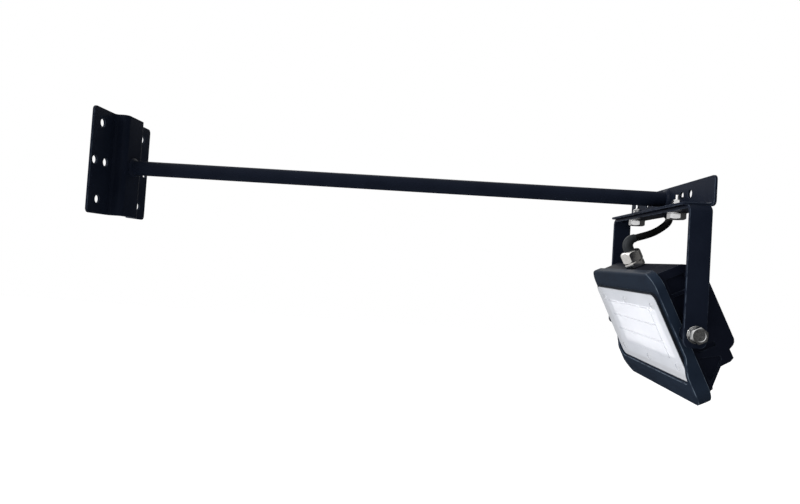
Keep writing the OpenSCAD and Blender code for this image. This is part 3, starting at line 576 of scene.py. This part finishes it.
def yoke_bolts():
    """The two yoke screws with their nuts, pilot tips and washers."""
    low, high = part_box("yoke_bolts")
    shank_top = high.z - YOKE_TIP
    head = settle(hex_head("head", YOKE_FLATS, YOKE_HEAD),
        Matrix.Translation((0, 0, low.z + YOKE_HEAD)) @ Matrix.Rotation(math.pi, 4, "X")
        @ Matrix.Rotation(math.radians(30), 4, "Z"))
    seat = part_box("yoke")[1].z + SHEET
    shank = threaded("shank", YOKE_BOLT_D / 2, low.z + YOKE_HEAD, seat)
    nut = settle(hex_head("nut", YOKE_BOLT_D * math.cos(math.pi / 6), shank_top - seat, 0.1 * MM),
        Matrix.Translation((0, 0, seat)) @ Matrix.Rotation(math.radians(30), 4, "Z"))
    tip_r = YOKE_TIP_D / 2
    point = turned("point", [(YOKE_BOLT_D / 2 - 0.9 * MM, shank_top - 0.2 * MM),
        (YOKE_BOLT_D / 2 - 1.2 * MM, shank_top), (tip_r, shank_top + 1.2 * MM),
        (tip_r, high.z - 0.6 * MM), (tip_r - 0.6 * MM, high.z)], 32)
    rounded(point, 0.15 * MM)
    bolt = joined("bolt", [head, shank, nut, point])
    places = [Matrix.Translation((PIVOT.x, side * YOKE_BOLT_Y, 0)) for side in (-1, 1)]
    dress(copied(bolt, "yoke_bolts_threaded", places), "yoke_bolts")
    low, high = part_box("yoke_washers")
    ring = washer("ring", high.x - low.x, YOKE_BOLT_D + YOKE_BOLT_PLAY, high.z - low.z)
    places = [Matrix.Translation((PIVOT.x, side * YOKE_BOLT_Y, low.z)) for side in (-1, 1)]
    dress(copied(ring, "yoke_washers_stamped", places), "yoke_washers")


def grommet():
    dress(casting("cable_grommet", "cable_grommet_moulded", 0.6 * MM, 3), "cable_grommet")


# Tilt screws
def tilt_screws():
    """The two tilt screws with their flat and spring washers, stacked outwards along Y."""
    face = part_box("yoke")[1].y
    head_seat = TILT_WASHER_T + SPRING_T
    sides = [LAMP @ Matrix.Translation((0, side * face, 0)) @ turn
        for side, turn in ((-1, NEAR), (1, FAR))]
    head = settle(hex_head("head", TILT_FLATS, TILT_HEAD), Matrix.Translation((0, 0, head_seat)))
    shank = threaded("shank", TILT_SCREW_D / 2, TILT_ROOT - face, head_seat)
    dress(copied(joined("screw", [head, shank]), "tilt_screws", sides), "pivot_bolts")
    flat = washer("flat", TILT_WASHER_D, TILT_WASHER_BORE, TILT_WASHER_T - TILT_WASHER_GAP)
    flat = settle(flat, Matrix.Translation((0, 0, TILT_WASHER_GAP)))
    dress(copied(flat, "tilt_washers", sides), "pivot_washers")
    springs = casting("pivot_spring_washers", "tilt_spring_washers", 0.2 * MM)
    dress(springs, "pivot_spring_washers")


# Lamp
def lamp_castings():
    dress(casting("front_frame", "front_frame_cast", 0.6 * MM, 3), "front_frame")
    dress(casting("housing", "housing_cast", 0.35 * MM), "housing")
    dress(casting("driver_cover", "driver_cover_cast", 0.3 * MM, 3), "driver_cover")


def lens_cover():
    dress(casting("lens", "lens_moulded", 0.3 * MM, 3), "lens")


def gland():
    dress(casting("gland_body", "gland_body_plated", 0.2 * MM), "gland_body")
    dress(casting("gland_nut", "gland_nut_plated", 0.25 * MM, 3), "gland_nut")


def small_heads(name, node, height, seat, places, turn):
    """One socket head at each place, seated at the given X in the lamp's frame."""
    head = socket_screw("head", SMALL_HEAD_R, height, SMALL_SOCKET_R)
    return dress(copied(head, name, [LAMP @ at(seat, y, z) @ turn for y, z in places]), node)


def small_screws():
    """Heads of the screws in the frame, the driver cover and the lens."""
    small_heads("frame_screw_heads", "frame_screws", FRAME_HEAD, FRAME_SEAT, FRAME_PLACES, ALONG_X)
    small_heads("cover_screw_heads", "cover_screws", COVER_HEAD, COVER_SEAT, COVER_PLACES, ALONG_X)
    heads = small_heads("lens_screw_heads", "lens_screws", LENS_HEAD, LENS_SEAT, LENS_PLACES,
        AGAINST_X)
    heads.data.materials[0] = PALE_ZINC


def plain_nodes():
    """CAD pieces whose shape stays take their finish."""
    for node, piece in frame["nodes"].items():
        if not piece.hide_render:
            piece.data.materials.clear()
            piece.data.materials.append(FINISH[SLOTS[node]])


sheet_metal()
arm_tube()
weld_beads()
yoke_bolts()
grommet()
tilt_screws()
lamp_castings()
lens_cover()
gland()
small_screws()
plain_nodes()


# Studio
def area_light(name, place, target, size, power):
    """A square white lamp at place that faces target."""
    data = bpy.data.lights.new(name, "AREA")
    data.size = size
    data.energy = power
    light = bpy.data.objects.new(name, data)
    light.location = place
    light.rotation_euler = (Vector(target) - Vector(place)).to_track_quat("-Z", "Y").to_euler()
    bpy.context.scene.collection.objects.link(light)


def seen_directly(nodes, links):
    """1 for what the camera sees, also through the lens, and 0 for light and reflections."""
    rays = nodes.new("ShaderNodeLightPath")
    either = nodes.new("ShaderNodeMath")
    either.operation = "MAXIMUM"
    links.new(rays.outputs["Is Camera Ray"], either.inputs[0])
    links.new(rays.outputs["Is Transmission Ray"], either.inputs[1])
    return either.outputs[0]


def studio_world():
    """White where it is seen, and for gloss a white wall behind and above a darker room."""
    world = bpy.data.worlds.new("studio")
    world.use_nodes = True
    bpy.context.scene.world = world
    nodes = world.node_tree.nodes
    links = world.node_tree.links
    place = nodes.new("ShaderNodeTexCoord")
    side = nodes.new("ShaderNodeVectorMath")
    side.operation = "DOT_PRODUCT"
    side.inputs[1].default_value = Vector((-0.78, -0.1, 0.62)).normalized()
    links.new(place.outputs["Generated"], side.inputs[0])
    room = stretched(nodes, links, side.outputs["Value"], (-0.35, 0.75), (0.05, 1))
    room.interpolation_type = "SMOOTHSTEP"
    level = nodes.new("ShaderNodeMix")
    level.inputs["B"].default_value = 1.0
    links.new(seen_directly(nodes, links), level.inputs["Factor"])
    links.new(room.outputs["Result"], level.inputs["A"])
    nodes["Background"].inputs["Color"].default_value = (1, 1, 1, 1)
    links.new(level.outputs["Result"], nodes["Background"].inputs["Strength"])


def studio():
    """The world, a wide pale floor that keeps soft shadows, and two lamps."""
    studio_world()
    bpy.ops.mesh.primitive_plane_add(size=12, location=(0.4, 0, -0.9))
    floor = bpy.context.active_object
    floor.name = "floor"
    floor.visible_glossy = False
    pale = bpy.data.materials.new("pale_floor")
    pale.use_nodes = True
    nodes = pale.node_tree.nodes
    links = pale.node_tree.links
    shader = nodes["Principled BSDF"]
    shader.inputs["Base Color"].default_value = (0.9, 0.9, 0.9, 1)
    shader.inputs["Roughness"].default_value = 0.9
    shader.inputs["Specular IOR Level"].default_value = 0.1
    shader.inputs["Emission Color"].default_value = (1, 1, 1, 1)
    glow = stretched(nodes, links, seen_directly(nodes, links), (0, 1), (0, 0.5))
    links.new(glow.outputs["Result"], shader.inputs["Emission Strength"])
    floor.data.materials.append(pale)

    area_light("key", (-1.6, -0.6, 0.9), (0.5, 0, -0.1), 1.2, 31)
    area_light("back", (0.5, 1.4, 1.0), (0.6, 0, -0.1), 1.2, 5)


studio()
bpy.context.scene.view_settings.view_transform = "Standard"
